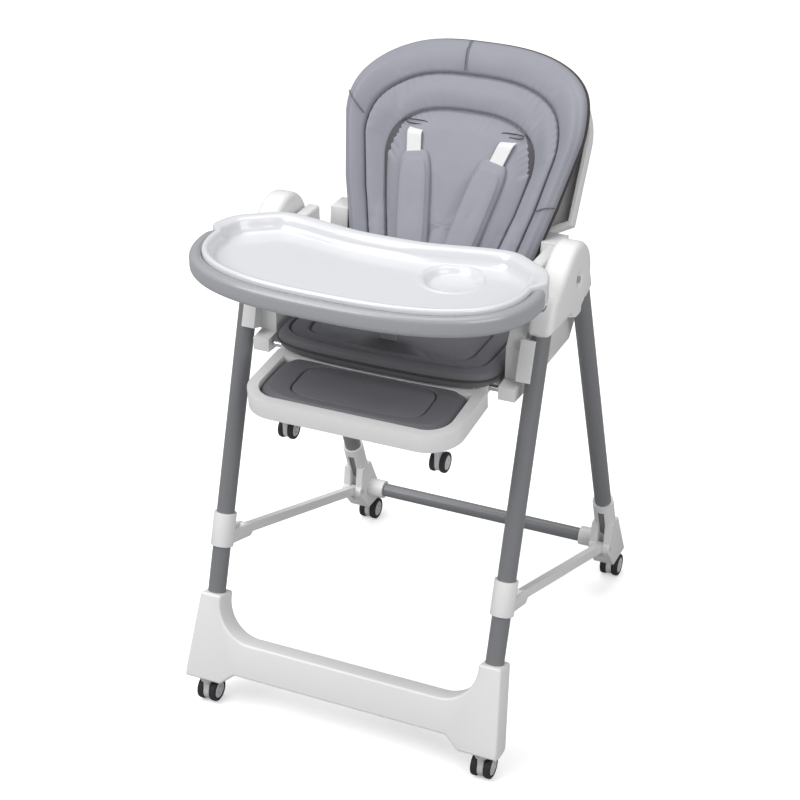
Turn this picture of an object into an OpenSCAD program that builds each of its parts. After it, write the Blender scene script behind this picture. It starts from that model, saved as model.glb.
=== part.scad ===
// Folding baby high chair on six casters. Millimetres, +Z up, the child faces -Y.
// Origin: on the floor, at the centre of the chair's footprint.

/* [Frame] */
// Distance between the left and the right leg planes
leg_span = 500; // [470:1:560]
// Distance between the front and the rear casters
wheel_base = 646; // [560:1:720]
// Height of the pivots that the rear legs fold on
pivot_z = 752; // [740:1:770]
// Outer diameter of the leg tubes
tube_d = 30; // [26:1:34]
// Wall of the leg tubes
tube_wall = 2; // [1:0.5:3]
// Slope of the front legs from the vertical
front_tilt = 17.7; // [15:0.1:20]
// Slope of the rear legs from the vertical
rear_tilt = 21.1; // [18:0.1:24]
// Outer diameter of the rear cross tube
cross_d = 25; // [20:1:28]
// Height of the rear cross tube
cross_z = 95; // [92:1:105]

/* [Shoulders] */
// Radius of the domed shoulder covers
dome_r = 60; // [56:1:64]
// Width of each shoulder cover
cover_w = 42; // [38:1:46]
// Wall of the shoulder covers
cover_wall = 4; // [3:0.5:5]
// Diameter of the fold pivot pins
pivot_d = 12; // [8:1:16]

/* [Fold links] */
// Length of the collars that slide on the front legs
collar_len = 57; // [45:1:70]
// Distance of the link's front pivot behind the front leg
link_reach = 76; // [72:1:80]
// Position of the link's front pivot along the front leg
link_along = 299; // [290:1:320]
// Thickness of the link bars
link_t = 12; // [8:1:14]

/* [Casters] */
// Wheel diameter of the floor casters
wheel_d = 42; // [38:1:44]
// Wheel diameter of the two footrest casters
small_wheel_d = 34; // [30:1:36]
// Overall width of a floor caster
caster_w = 34; // [32:1:40]

/* [Seat] */
// Width between the outer faces of the seat sides
seat_w = 452; // [440:1:456]
// Thickness of each seat side
side_t = 28; // [22:1:30]
// Height of the seat pan's underside
seat_z = 606; // [600:1:610]
// Thickness of the seat cushion
seat_pad_t = 34; // [28:1:40]

/* [Backrest] */
// Slope of the backrest from the vertical
back_tilt = 31; // [24:1:36]
// Length of the backrest cushion
back_len = 440; // [400:1:460]
// Widest width of the backrest cushion
back_w = 410; // [380:1:420]
// Thickness of the backrest cushion
back_pad_t = 38; // [30:1:44]

/* [Tray] */
// Width of the tray
tray_w = 568; // [550:1:580]
// Height of the tray's underside
tray_z = 782; // [775:1:790]
// Height of the tray's rim
tray_h = 32; // [28:1:36]
// Width of the rim around the insert
tray_rim = 19; // [16:1:22]
// Radius of the cup recess
cup_r = 42; // [36:1:46]

/* [Footrest] */
// Width of the footrest frame
foot_w = 362; // [340:1:366]
// Slope of the footrest below the horizontal
foot_slope = 5; // [0:1:20]

/* [Hidden] */
$fn = 64;
run = 0.05;                 // radial clearance of a running fit
gap = 0.4;                  // clearance between neighbours that move apart
leg_x = leg_span / 2;
tube_r = tube_d / 2;
sleeve_r = tube_r + 4;
foot_z = 52;                // underside of the feet, where the caster stems enter
trail = 10;                 // casters' wheels stand behind their stems
centre_y = 11;              // moves the chair so that its box is centred on the origin
front_y0 = -wheel_base / 2 - trail - tan(front_tilt) * foot_z;
rear_y0 = wheel_base / 2;
pivot_y = front_y0 + tan(front_tilt) * pivot_z + 92;
wheel_r = wheel_d / 2;

// ---- places and directions -------------------------------------------------
function front_y(z) = front_y0 + tan(front_tilt) * z;
function rear_y(z) = rear_y0 - tan(rear_tilt) * z;
function along(z, tilt) = z / cos(tilt);
// Right-hand part at side 1, its mirror image at side -1
module on_side(side) { if (side > 0) children(); else mirror([1, 0, 0]) children(); }
// Frame with its origin on the leg's axis at the floor and +Z up the leg
module at_front_leg() translate([leg_x, front_y0, 0]) rotate([-front_tilt, 0, 0]) children();
module at_rear_leg() translate([leg_x, rear_y0, 0]) rotate([rear_tilt, 0, 0]) children();
module rod_x(x0, x1, r) translate([x0, 0, 0]) rotate([0, 90, 0]) cylinder(h = x1 - x0, r = r);
// Extrusion along +X of an outline drawn with its first axis on Y and its second on Z
module plate_x(x0, x1) translate([x0, 0, 0]) rotate([90, 0, 90]) linear_extrude(x1 - x0) children();

// ---- front frame -----------------------------------------------------------
foot_bar_t = 46;
foot_bar_top = along(128, front_tilt);
foot_bar_low = along(72, front_tilt);
foot_low = along(foot_z, front_tilt);
foot_socket_top = along(196, front_tilt);
foot_flare = 12;
foot_fillet = 62;
module foot_outline() {
  inner = leg_x - sleeve_r;
  polygon([[-1, foot_bar_low], [inner - 40, foot_bar_low], [inner - 16, foot_low],
    [leg_x + sleeve_r + foot_flare, foot_low], [leg_x + sleeve_r + foot_flare, foot_low + 14],
    [leg_x + sleeve_r, foot_socket_top], [inner, foot_socket_top],
    [inner, foot_bar_top], [-1, foot_bar_top]]);
  difference() {
    translate([inner - foot_fillet, foot_bar_top - 1]) square([foot_fillet + 1, foot_fillet]);
    translate([inner - foot_fillet, foot_bar_top + foot_fillet]) circle(r = foot_fillet);
  }
}
module foot_half() {
  difference() {
    at_front_leg() translate([-leg_x, 0, 0]) intersection() {
      rotate([90, 0, 0]) translate([0, 0, -foot_bar_t / 2]) linear_extrude(foot_bar_t) foot_outline();
      translate([-1, -foot_bar_t / 2, 0]) cube([2 * leg_x, foot_bar_t, foot_socket_top + 1]);
    }
    at_front_leg() translate([0, 0, along(110, front_tilt)]) cylinder(h = 200, r = tube_r);
    translate([leg_x, -wheel_base / 2 - trail, 0]) cylinder(h = foot_z + stem_len + 2, r = stem_r + run);
    translate([0, -wheel_base, foot_z - 40]) cube([2 * leg_x, 2 * wheel_base, 40]);
  }
}
module front_foot_bar() color("white") {
  foot_half();
  mirror([1, 0, 0]) foot_half();
}
front_leg_top = along(pivot_z - 6, front_tilt);
module front_leg(side) color("slategray") on_side(side) at_front_leg() difference() {
  translate([0, 0, along(110, front_tilt)]) cylinder(h = front_leg_top - along(110, front_tilt), r = tube_r);
  translate([0, 0, along(110, front_tilt) - 1])
    cylinder(h = front_leg_top - along(110, front_tilt) + 2, r = tube_r - tube_wall);
}

// ---- shoulders -------------------------------------------------------------
cover_x0 = leg_x - cover_w / 2;
cover_x1 = leg_x + cover_w / 2;
cover_low = pivot_z - 48;   // underside of the socket round the front leg
socket_half = tube_r + 5.5;
hub_r = 33;
module cover_outline() {
  front = front_y(cover_low) - socket_half / cos(front_tilt);
  translate([pivot_y, pivot_z]) circle(r = dome_r);
  polygon([[front, cover_low], [pivot_y + dome_r - 6, cover_low], [pivot_y + dome_r, pivot_z],
    [pivot_y, pivot_z], [pivot_y - dome_r * cos(50), pivot_z + dome_r * sin(50)],
    [front_y(pivot_z) - 12, pivot_z + 4]]);
}
module shoulder_cover(side) color("white") on_side(side) difference() {
  plate_x(cover_x0, cover_x1) cover_outline();
  // room for the rear hub: a round pocket, open below and behind the front socket
  plate_x(cover_x0 + cover_wall, cover_x1 - cover_wall) difference() {
    union() {
      translate([pivot_y, pivot_z]) circle(r = dome_r - cover_wall);
      translate([pivot_y - 200, pivot_z - 2 * dome_r]) square([200 + 3 * dome_r, 2 * dome_r]);
    }
    socket_wall();
  }
  at_front_leg() cylinder(h = front_leg_top, r = tube_r);
  translate([0, pivot_y, pivot_z]) rod_x(cover_x0 - 1, cover_x1 + 1, pivot_d / 2);
}
// Solid stretch of the cover round the top of the front leg
module socket_wall() {
  slope = tan(front_tilt);
  back = front_y(cover_low) + (tube_r + 3) / cos(front_tilt);
  rise = pivot_z + 30 - cover_low;
  polygon([[back - 200, cover_low - 99], [back - slope * 99, cover_low - 99],
    [back + slope * rise, cover_low + rise], [back - 200, cover_low + rise]]);
}
module fold_pivot_pins() color("silver") for (side = [-1, 1]) on_side(side)
  translate([0, pivot_y, pivot_z]) rod_x(cover_x0, cover_x1, pivot_d / 2);

// ---- rear frame ------------------------------------------------------------
// Pivot seen from the rear leg's own frame: ahead of its axis by hub_off, at hub_at along it
hub_off = (pivot_y - rear_y(pivot_z)) * cos(rear_tilt);
hub_at = along(pivot_z, rear_tilt) + (pivot_y - rear_y(pivot_z)) * -sin(rear_tilt);
hub_t = cover_w - 2 * cover_wall - 2;
rear_top = hub_at - 26;
module rear_hub(side) color("white") on_side(side) at_rear_leg() difference() {
  union() {
    translate([0, hub_off, hub_at]) rod_x(-hub_t / 2, hub_t / 2, hub_r);
    // block from the pivot to the leg, within the cover's round pocket
    intersection() {
      translate([-hub_t / 2, hub_off, hub_at - 30]) cube([hub_t, -hub_off + 10, 30]);
      translate([0, hub_off, hub_at]) rod_x(-hub_t / 2, hub_t / 2, dome_r - cover_wall - 2);
    }
    intersection() {
      translate([0, 0, rear_top - 40]) cylinder(h = 42, r = sleeve_r);
      translate([-hub_t / 2, -sleeve_r, rear_top - 60]) cube([hub_t, 2 * sleeve_r, 90]);
    }
  }
  translate([0, hub_off, hub_at]) rod_x(-hub_t, hub_t, pivot_d / 2 + run);
  cylinder(h = rear_top, r = tube_r);
}
rear_socket_top = along(202, rear_tilt);
rear_tube_low = along(120, rear_tilt);
module rear_leg(side) color("slategray") on_side(side) at_rear_leg() difference() {
  translate([0, 0, rear_tube_low]) cylinder(h = rear_top - rear_tube_low, r = tube_r);
  translate([0, 0, rear_tube_low - 1]) cylinder(h = rear_top - rear_tube_low + 2, r = tube_r - tube_wall);
}
// Rear pivot of the fold link, ahead of the foot
link_rear_z = cross_z + 7;
link_rear_y = rear_y(link_rear_z) - 38;
cross_y = rear_y(cross_z) - 5;
cross_collar_in = leg_x - 50;
module rear_foot(side) color("white") on_side(side) difference() {
  union() {
    at_rear_leg() cylinder(h = rear_socket_top, r = sleeve_r);
    // body of the foot, down to the caster
    plate_x(leg_x - sleeve_r, leg_x + sleeve_r) polygon([
      [rear_y(150) - sleeve_r, 150], [rear_y(150) + sleeve_r, 150],
      [wheel_base / 2 + 14, foot_z], [rear_y(foot_z) - 30, foot_z],
      [link_rear_y - 4, link_rear_z - 12], [link_rear_y - 4, link_rear_z + 12]]);
    translate([0, link_rear_y, link_rear_z]) rod_x(leg_x - sleeve_r, leg_x + sleeve_r, 12);
    translate([0, cross_y, cross_z]) rod_x(cross_collar_in, leg_x, cross_d / 2 + 5);
  }
  at_rear_leg() translate([0, 0, rear_tube_low]) cylinder(h = 200, r = tube_r);
  translate([0, cross_y, cross_z]) rod_x(cross_collar_in - 1, leg_x - sleeve_r + 2, cross_d / 2);
  // slot that the link bar turns in
  translate([leg_x - link_t / 2 - gap, link_rear_y - 60, foot_z - 1])
    cube([link_t + 2 * gap, 60 + link_eye_r + 4, 130]);
  translate([0, link_rear_y, link_rear_z]) rod_x(leg_x - 40, leg_x + 40, link_pin_r);
  translate([leg_x, wheel_base / 2 - trail, 0]) cylinder(h = foot_z + stem_len + 2, r = stem_r + run);
  translate([0, -wheel_base, -foot_z]) cube([2 * leg_x, 3 * wheel_base, 2 * foot_z]);
}
module rear_cross_tube() color("slategray") translate([0, cross_y, cross_z]) difference() {
  reach = leg_x - sleeve_r + 2;
  rod_x(-reach, reach, cross_d / 2);
  rod_x(-reach - 1, reach + 1, cross_d / 2 - tube_wall);
}

// ---- fold links ------------------------------------------------------------
link_eye_r = 10;
link_pin_r = 4;
fork_t = 6;
// Pivot on the collar's fork, from the leg's own frame
link_front_y = front_y0 + link_reach * cos(front_tilt) + link_along * sin(front_tilt);
link_front_z = link_along * cos(front_tilt) - link_reach * sin(front_tilt);
module link_pins() color("silver") for (side = [-1, 1]) on_side(side)
  translate([0, link_rear_y, link_rear_z]) rod_x(leg_x - sleeve_r, leg_x + sleeve_r, link_pin_r);
module fold_collar(side) color("white") on_side(side) at_front_leg() difference() {
  union() {
    translate([0, 0, link_along - 12]) cylinder(h = collar_len, r = sleeve_r);
    for (x = [-link_t / 2 - gap - fork_t, link_t / 2 + gap]) {
      translate([x, 0, link_along - 11]) cube([fork_t, link_reach, 22]);
      translate([0, link_reach, link_along]) rod_x(x, x + fork_t, 11);
    }
  }
  translate([0, 0, link_along - 99]) cylinder(h = 200, r = tube_r + run);
}
module link_bar(side) color("white") on_side(side) {
  dy = link_front_y - link_rear_y;
  dz = link_front_z - link_rear_z;
  len = sqrt(dy * dy + dz * dz);
  translate([0, link_rear_y, link_rear_z]) rotate([atan2(dz, dy), 0, 0]) difference() {
    union() {
      translate([leg_x - link_t / 2, 0, -8]) cube([link_t, len, 16]);
      rod_x(leg_x - link_t / 2, leg_x + link_t / 2, link_eye_r);
      translate([0, len, 0]) rod_x(leg_x - link_t / 2, leg_x + link_t / 2, link_eye_r);
    }
    rod_x(leg_x - link_t, leg_x + link_t, link_pin_r + run);
  }
}

// ---- casters ---------------------------------------------------------------
stem_r = 5;
stem_len = 24;
axle_r = 3;
hood_share = 0.3;           // share of a caster's width that its hood takes, between the wheels
pedal_pin_r = 1.5;
pedal_y = trail + 16;       // pivot of a brake pedal, from its caster's stem
pedal_rise = 24;            // the same, above the axle
// Stem, mounting disc, hood and axle; r wheel radius, w width, top height of the mounting face
module caster_fork(r, w, top) {
  hood = w * hood_share;
  translate([0, 0, top - 6.4]) cylinder(h = 6, r = 12);
  translate([0, 0, top - 1]) cylinder(h = stem_len, r = stem_r);
  translate([-hood / 2, -7, r]) cube([hood, trail + 14, top - 6 - r]);
  translate([0, trail, r]) rod_x(-hood / 2, hood / 2, r - 2);
  translate([0, trail, r]) rod_x(-w / 2 + 3, w / 2 - 3, axle_r);
}
// Two tyred wheels turning on the axle
module caster_wheels(r, w) translate([0, trail, r]) for (s = [-1, 1]) on_side(s) difference() {
  rod_x(w * hood_share / 2 + gap, w / 2, r);
  rod_x(0, w / 2 - 3 + gap, axle_r + run);
}
pedal_half = 3;             // half the width of a brake pedal's barrel
module pedal_ears() for (s = [-1, 1]) on_side(s) translate([pedal_half + gap, trail + 6, wheel_r + 16])
  cube([caster_w * hood_share / 2 - pedal_half - gap, 13, pedal_rise - 16 + 3]);
module at_floor_caster(side, end) translate([side * leg_x, end * wheel_base / 2 - trail, 0]) children();
module front_fork(side) color("lightgray") at_floor_caster(side, -1) caster_fork(wheel_r, caster_w, foot_z);
module front_wheels(side) color("black") at_floor_caster(side, -1) caster_wheels(wheel_r, caster_w);
module rear_wheels(side) color("black") at_floor_caster(side, 1) caster_wheels(wheel_r, caster_w);
module rear_fork(side) color("lightgray") at_floor_caster(side, 1) {
  caster_fork(wheel_r, caster_w, foot_z);
  pedal_ears();
  pin = caster_w * hood_share / 2;
  translate([0, pedal_y, wheel_r + pedal_rise]) rod_x(-pin, pin, pedal_pin_r);
}
module brake_pedal(side) color("dimgray") at_floor_caster(side, 1)
  translate([0, pedal_y, wheel_r + pedal_rise]) difference() {
    union() {
      rod_x(-pedal_half, pedal_half, 3);
      translate([-pedal_half, 0, -1.5]) cube([2 * pedal_half, 6, 3]);
      translate([-9, 4, -1.5]) cube([18, 16, 3]);
    }
    rod_x(-5, 5, pedal_pin_r + run);
  }

// ---- seat carriage ---------------------------------------------------------
seat_out = seat_w / 2;
seat_in = seat_out - side_t;
horn_in = seat_in - 26;
pan_t = 6;
foot_hinge_y = -156;
foot_hinge_z = seat_z + 5;
back_hinge_y = 62;
back_hinge_z = seat_z + 16;
arm_t = 26;                 // thickness of the rails that the tray slides on
arm_z = seat_z + 104;       // top of the seat sides, underside of the armrests
shoe_low = along(seat_z + 24, front_tilt);
shoe_len = 66;                // ends below the shoulder cover, at its tilt
rod_r = 6;
foot_rod_r = 5;
module side_outline() polygon([[-170, seat_z - 6], [-140, seat_z - 8], [80, seat_z - 8],
  [118, seat_z + 30], [118, seat_z + 100], [40, arm_z], [-116, arm_z],
  [-140, seat_z + 70], [-142, seat_z + 18], [-170, seat_z + 16]]);
// Rear horn that stands beside the foot of the backrest
module horn_outline() polygon([[66, seat_z + 40], [118, seat_z + 44],
  [120, seat_z + 156], [76, seat_z + 156]]);
module seat_side(side) color("white") on_side(side) difference() {
  union() {
    plate_x(seat_in, seat_out) side_outline();
    plate_x(horn_in, seat_in + 6) horn_outline();
    at_front_leg() translate([seat_out - leg_x - 1, -21, shoe_low])
      cube([leg_x - seat_out - 1, 42, shoe_len]);
  }
  at_front_leg() cylinder(h = 2 * pivot_z, r = tube_r + gap);
  translate([0, back_hinge_y, back_hinge_z]) rod_x(0, seat_in + 12, rod_r);
  translate([0, foot_hinge_y, foot_hinge_z]) rod_x(0, seat_in + 12, foot_rod_r);
  // well of the height button
  translate([0, button_y, button_z]) rod_x(seat_out - 8, seat_out + 1, button_r + gap);
}
button_r = 13;
button_y = -30;
button_z = seat_z + 66;
module height_button(side) color("slategray") on_side(side)
  translate([0, button_y, button_z]) rod_x(seat_out - 2, seat_out + 2.6, button_r);
module seat_pan() color("white") difference() {
  translate([-seat_in, -140, seat_z]) cube([2 * seat_in, 178, pan_t]);
  for (x = [-120, -40, 40]) translate([x, -60, seat_z - 1]) cube([80 - 16, 60, pan_t + 2]);
}
module armrest(side) color("white") on_side(side) translate([seat_in + 2, 0, arm_z]) {
  translate([0, -112, 0]) cube([side_t - 6, 142, tray_z - arm_z - arm_t]);
  translate([0, -190, tray_z - arm_z - arm_t]) cube([side_t - 6, 220, arm_t - gap]);
}
module back_hinge_rod() color("silver") translate([0, back_hinge_y, back_hinge_z])
  rod_x(-seat_in - 12, seat_in + 12, rod_r);
module footrest_rod() color("silver") translate([0, foot_hinge_y, foot_hinge_z])
  rod_x(-seat_in - 12, seat_in + 12, foot_rod_r);
cushion_z = seat_z + pan_t;
module seat_cushion() color("lightslategray") difference() {
  translate([0, 0, cushion_z]) linear_extrude(seat_pad_t) polygon([
    [-seat_in + 6, 12], [-seat_in + 6, -150], [-seat_in + 30, -172], [-90, -188],
    [90, -188], [seat_in - 30, -172], [seat_in - 6, -150], [seat_in - 6, 12]]);
  translate([-seat_in, -200, cushion_z - 1]) cube([2 * seat_in, 60, 11]);
}
module crotch_strap() color("gray") {
  translate([-14, -150, cushion_z + seat_pad_t]) cube([28, 20, 30]);
  translate([-40, -158, cushion_z + seat_pad_t + 30]) cube([80, 34, 18]);
}

// ---- backrest --------------------------------------------------------------
shell_front = -14;
shell_back = 12;
pad_front = shell_front - 1 - back_pad_t;
module at_back() translate([0, back_hinge_y, back_hinge_z]) rotate([-back_tilt, 0, 0]) children();
// Extrusion of an outline in the backrest's own plane, from depth y0 back to y1
module back_slab(y0, y1) translate([0, y1, 0]) rotate([90, 0, 0]) linear_extrude(y1 - y0) children();
// Outline of the backrest, inset by d, with its low end at v0:
// narrow between the sides, then wide, with an arched top
module back_outline(half, low_half, v0, top, d) {
  arch = 128;
  polygon([[-low_half + d, v0 + d], [low_half - d, v0 + d], [low_half - d, 150 + d],
    [half - d, 168 + d], [half - d, top - arch], [-half + d, top - arch],
    [-half + d, 168 + d], [-low_half + d, 150 + d]]);
  for (s = [-1, 1]) translate([s * (half - arch), top - arch]) circle(r = arch - d);
  translate([-half + arch, top - arch - 1]) square([2 * (half - arch), arch + 1 - d]);
}
module back_shell() color("white") at_back() difference() {
  union() {
    difference() {
      back_slab(shell_front, shell_back) back_outline(back_w / 2 - 4, horn_in - 4, -12, back_len - 12, 0);
      back_slab(shell_front - 1, shell_back - 5)
        back_outline(back_w / 2 - 4, horn_in - 4, 16, back_len - 12, 6);
    }
    rod_x(-horn_in + 4, horn_in - 4, 12);
  }
  rod_x(-seat_in, seat_in, rod_r + run);
  // slots that the harness straps pass through
  for (x = [-slot_x, slot_x], v = [slot_v, slot_v - 50]) translate([x - 20, -40, v - 4]) cube([40, 80, 8]);
  translate([-lever_w / 2 - gap, -20, lever_v - 14]) cube([lever_w + 2 * gap, 60, 28]);
}
slot_x = 85;
slot_v = 287;
lever_w = 90;
lever_v = back_len - 60;
// Squeeze lever in a well at the top of the shell's back; it turns on a pin across the well
module recline_lever() color("slategray") at_back() translate([0, lever_y, lever_v + 8]) {
  rod_x(-lever_w / 2, lever_w / 2, 5);
  translate([-lever_w / 2, -3, -20]) cube([lever_w, 6, 20]);
}
lever_y = shell_back - 4;
wing = 34;                  // how far the cushion's side wings stand forward
module back_cushion() color("lightslategray") at_back() {
  back_slab(pad_front, shell_front - 1) back_outline(back_w / 2, horn_in - 6, 24, back_len, 0);
  intersection() {
    back_slab(pad_front - wing, pad_front + 1) back_outline(back_w / 2, horn_in - 6, 24, back_len, 0);
    linear_extrude(back_len - 90) for (s = [-1, 1])
      polygon([[s * (back_w / 2 - 60), pad_front + 1], [s * (back_w / 2 - 8), pad_front - wing],
        [s * back_w / 2, pad_front - wing], [s * back_w / 2, pad_front + 1]]);
  }
}
pad_top_v = slot_v - 44;    // top of the sleeves on the shoulder straps
pad_w = 56;
module harness_pad(side) color("lightslategray") at_back()
  translate([side * slot_x, 0, pad_top_v]) rotate([0, side > 0 ? 17 : -10, 0])
    translate([-pad_w / 2, pad_front - 15, -190]) cube([pad_w, 14, 190]);
module harness_strap(side) color("white") at_back()
  translate([side * slot_x - 12, pad_front - 3, pad_top_v + 4.5]) cube([24, 2.6, 39.5]);

// ---- footrest --------------------------------------------------------------
foot_len = 165;
foot_low_z = -30;
foot_high_z = 0;
foot_corner = 58;
module at_footrest() translate([0, foot_hinge_y, foot_hinge_z]) rotate([foot_slope, 0, 0]) children();
module foot_outline_2d(d) {
  half = foot_w / 2;
  for (s = [-1, 1]) translate([s * (half - foot_corner), -foot_len + foot_corner])
    circle(r = foot_corner - d);
  translate([-half + foot_corner, -foot_len + d]) square([2 * (half - foot_corner), foot_len - 12 - 2 * d]);
  translate([-half + d, -foot_len + foot_corner]) square([2 * half - 2 * d, foot_len - foot_corner - 12 - d]);
}
module footrest_frame() color("white") difference() {
  union() {
    at_footrest() {
      difference() {
        translate([0, 0, foot_low_z]) linear_extrude(foot_high_z - foot_low_z) foot_outline_2d(0);
        translate([0, 0, foot_low_z + 5]) linear_extrude(40) foot_outline_2d(18);
      }
      for (s = [-1, 1]) on_side(s) {
        translate([foot_w / 2 - 22, -20, -8]) cube([20, 20, 8]);
        rod_x(foot_w / 2 - 22, foot_w / 2 - 2, 8);
      }
    }
    for (s = [-1, 1]) translate([s * foot_caster_x, foot_caster_y, small_floor + small_top])
      cylinder(h = small_stem, r = 12);
  }
  at_footrest() rod_x(-foot_w, foot_w, foot_rod_r + run);
  for (s = [-1, 1]) translate([s * foot_caster_x, foot_caster_y, small_floor])
    cylinder(h = small_top + small_stem, r = stem_r + run);
}
module footrest_cushion() color("lightslategray")
  at_footrest() translate([0, 0, foot_low_z + 5])
    linear_extrude(foot_high_z - foot_low_z - 6) foot_outline_2d(19);
foot_caster_x = 131;
foot_caster_y = -245;
small_r = small_wheel_d / 2;
small_w = 26;
small_stem = 14;
small_top = 70;
small_floor = 492;
module at_footrest_caster(side) translate([side * foot_caster_x, foot_caster_y, small_floor]) children();
module footrest_fork(side) color("lightgray") at_footrest_caster(side) {
  hood = small_w * hood_share;
  translate([0, 0, small_top - 6.4]) cylinder(h = 6, r = 10);
  translate([0, 0, small_top - 1]) cylinder(h = small_stem, r = stem_r);
  translate([-hood / 2, -5, small_r]) cube([hood, trail + 10, small_top - 6 - small_r]);
  translate([0, trail, small_r]) rod_x(-hood / 2, hood / 2, small_r - 2);
  translate([0, trail, small_r]) rod_x(-small_w / 2 + 3, small_w / 2 - 3, axle_r);
}
module footrest_wheels(side) color("black") at_footrest_caster(side) caster_wheels(small_r, small_w);

// ---- tray ------------------------------------------------------------------
tray_mid = -207;            // where the curved front of the tray begins
tray_reach = 174;           // reach of the curved front
tray_back = -95;            // rear edge of the tray, at its sides
front_power = 2.6;
tray_steps = 40;
function tray_front(a, b) = [for (i = [0 : tray_steps]) let (t = 180 + 180 * i / tray_steps)
  [a * sign(cos(t)) * pow(abs(cos(t)), 2 / front_power), tray_mid - b * pow(abs(sin(t)), 2 / front_power)]];
// Outline of the tray, inset by d: a curved front, tapering sides and a hollowed rear edge
module tray_outline(d) {
  half = tray_w / 2;
  right = [[half - 12 - d, tray_back - 55], [half - 32 - d, tray_back - 35 - d * 0.6],
    [half - 57 - d, tray_back - 29 - d], [half - 68 - d, tray_back - 10 - d],
    [half - 86 - d, tray_back - d],
    [half - 140, tray_back - 8 - d], [half - 200, tray_back - 22 - d], [60, tray_back - 28 - d]];
  left = [for (i = [len(right) - 1 : -1 : 0]) [-right[i][0], right[i][1]]];
  polygon(concat(tray_front(half - d, tray_reach - d), right, left));
}
tray_floor = 4;
insert_lip = 6;             // how far the insert stands above the rim
insert_floor = tray_floor + 12;
cup_x = 128;
cup_y = -190;
module tray_base() color("lightslategray") translate([0, 0, tray_z]) difference() {
  linear_extrude(tray_h) tray_outline(0);
  translate([0, 0, tray_floor]) linear_extrude(tray_h) tray_outline(tray_rim);
  // slot of the release latch
  translate([-latch_w / 2 - gap, tray_mid - tray_reach + 22, -1])
    cube([latch_w + 2 * gap, 60, tray_floor + 2]);
}
module tray_insert() color("white") translate([0, 0, tray_z]) difference() {
  translate([0, 0, tray_floor]) linear_extrude(tray_h + insert_lip - tray_floor) tray_outline(tray_rim + gap);
  translate([0, 0, insert_floor]) linear_extrude(tray_h) tray_outline(tray_rim + 9);
  translate([cup_x, cup_y, tray_floor + 3]) cylinder(h = 30, r = cup_r);
}
latch_w = 60;
module tray_latch() color("slategray") translate([-latch_w / 2, tray_mid - tray_reach + 30, tray_z - 8])
  cube([latch_w, 40, 8 + tray_floor - gap]);
// Grip under each end of the rim
module tray_knob(side) color("white") on_side(side) translate([leg_x - 8, tray_back - 54, tray_z - 30])
  cube([16, 14, 30]);

module centred() translate([0, centre_y, 0]) children();

centred() front_foot_bar();
centred() front_leg(-1);  // front_leg_left
centred() front_leg(1);  // front_leg_right
centred() shoulder_cover(-1);  // shoulder_cover_left
centred() shoulder_cover(1);  // shoulder_cover_right
centred() fold_pivot_pins();
centred() rear_hub(-1);  // rear_hub_left
centred() rear_hub(1);  // rear_hub_right
centred() rear_leg(-1);  // rear_leg_left
centred() rear_leg(1);  // rear_leg_right
centred() rear_foot(-1);  // rear_foot_left
centred() rear_foot(1);  // rear_foot_right
centred() rear_cross_tube();
centred() link_pins();
centred() fold_collar(-1);  // fold_collar_left
centred() fold_collar(1);  // fold_collar_right
centred() link_bar(-1);  // link_bar_left
centred() link_bar(1);  // link_bar_right
centred() seat_pan();
centred() seat_side(-1);  // seat_side_left
centred() seat_side(1);  // seat_side_right
centred() armrest(-1);  // armrest_left
centred() armrest(1);  // armrest_right
centred() height_button(-1);  // height_button_left
centred() height_button(1);  // height_button_right
centred() back_hinge_rod();
centred() footrest_rod();
centred() seat_cushion();
centred() crotch_strap();
centred() back_shell();
centred() back_cushion();
centred() recline_lever();
centred() harness_strap(-1);  // harness_strap_left
centred() harness_strap(1);  // harness_strap_right
centred() harness_pad(-1);  // harness_pad_left
centred() harness_pad(1);  // harness_pad_right
centred() footrest_frame();
centred() footrest_cushion();
centred() tray_base();
centred() tray_insert();
centred() tray_latch();
centred() tray_knob(-1);  // tray_knob_left
centred() tray_knob(1);  // tray_knob_right
centred() front_fork(-1);  // fork_front_left
centred() front_fork(1);  // fork_front_right
centred() rear_fork(-1);  // fork_rear_left
centred() rear_fork(1);  // fork_rear_right
centred() footrest_fork(-1);  // fork_footrest_left
centred() footrest_fork(1);  // fork_footrest_right
centred() front_wheels(-1);  // wheel_front_left
centred() front_wheels(1);  // wheel_front_right
centred() rear_wheels(-1);  // wheel_rear_left
centred() rear_wheels(1);  // wheel_rear_right
centred() footrest_wheels(-1);  // wheel_footrest_left
centred() footrest_wheels(1);  // wheel_footrest_right
centred() brake_pedal(-1);  // brake_pedal_left
centred() brake_pedal(1);  // brake_pedal_right
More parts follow.
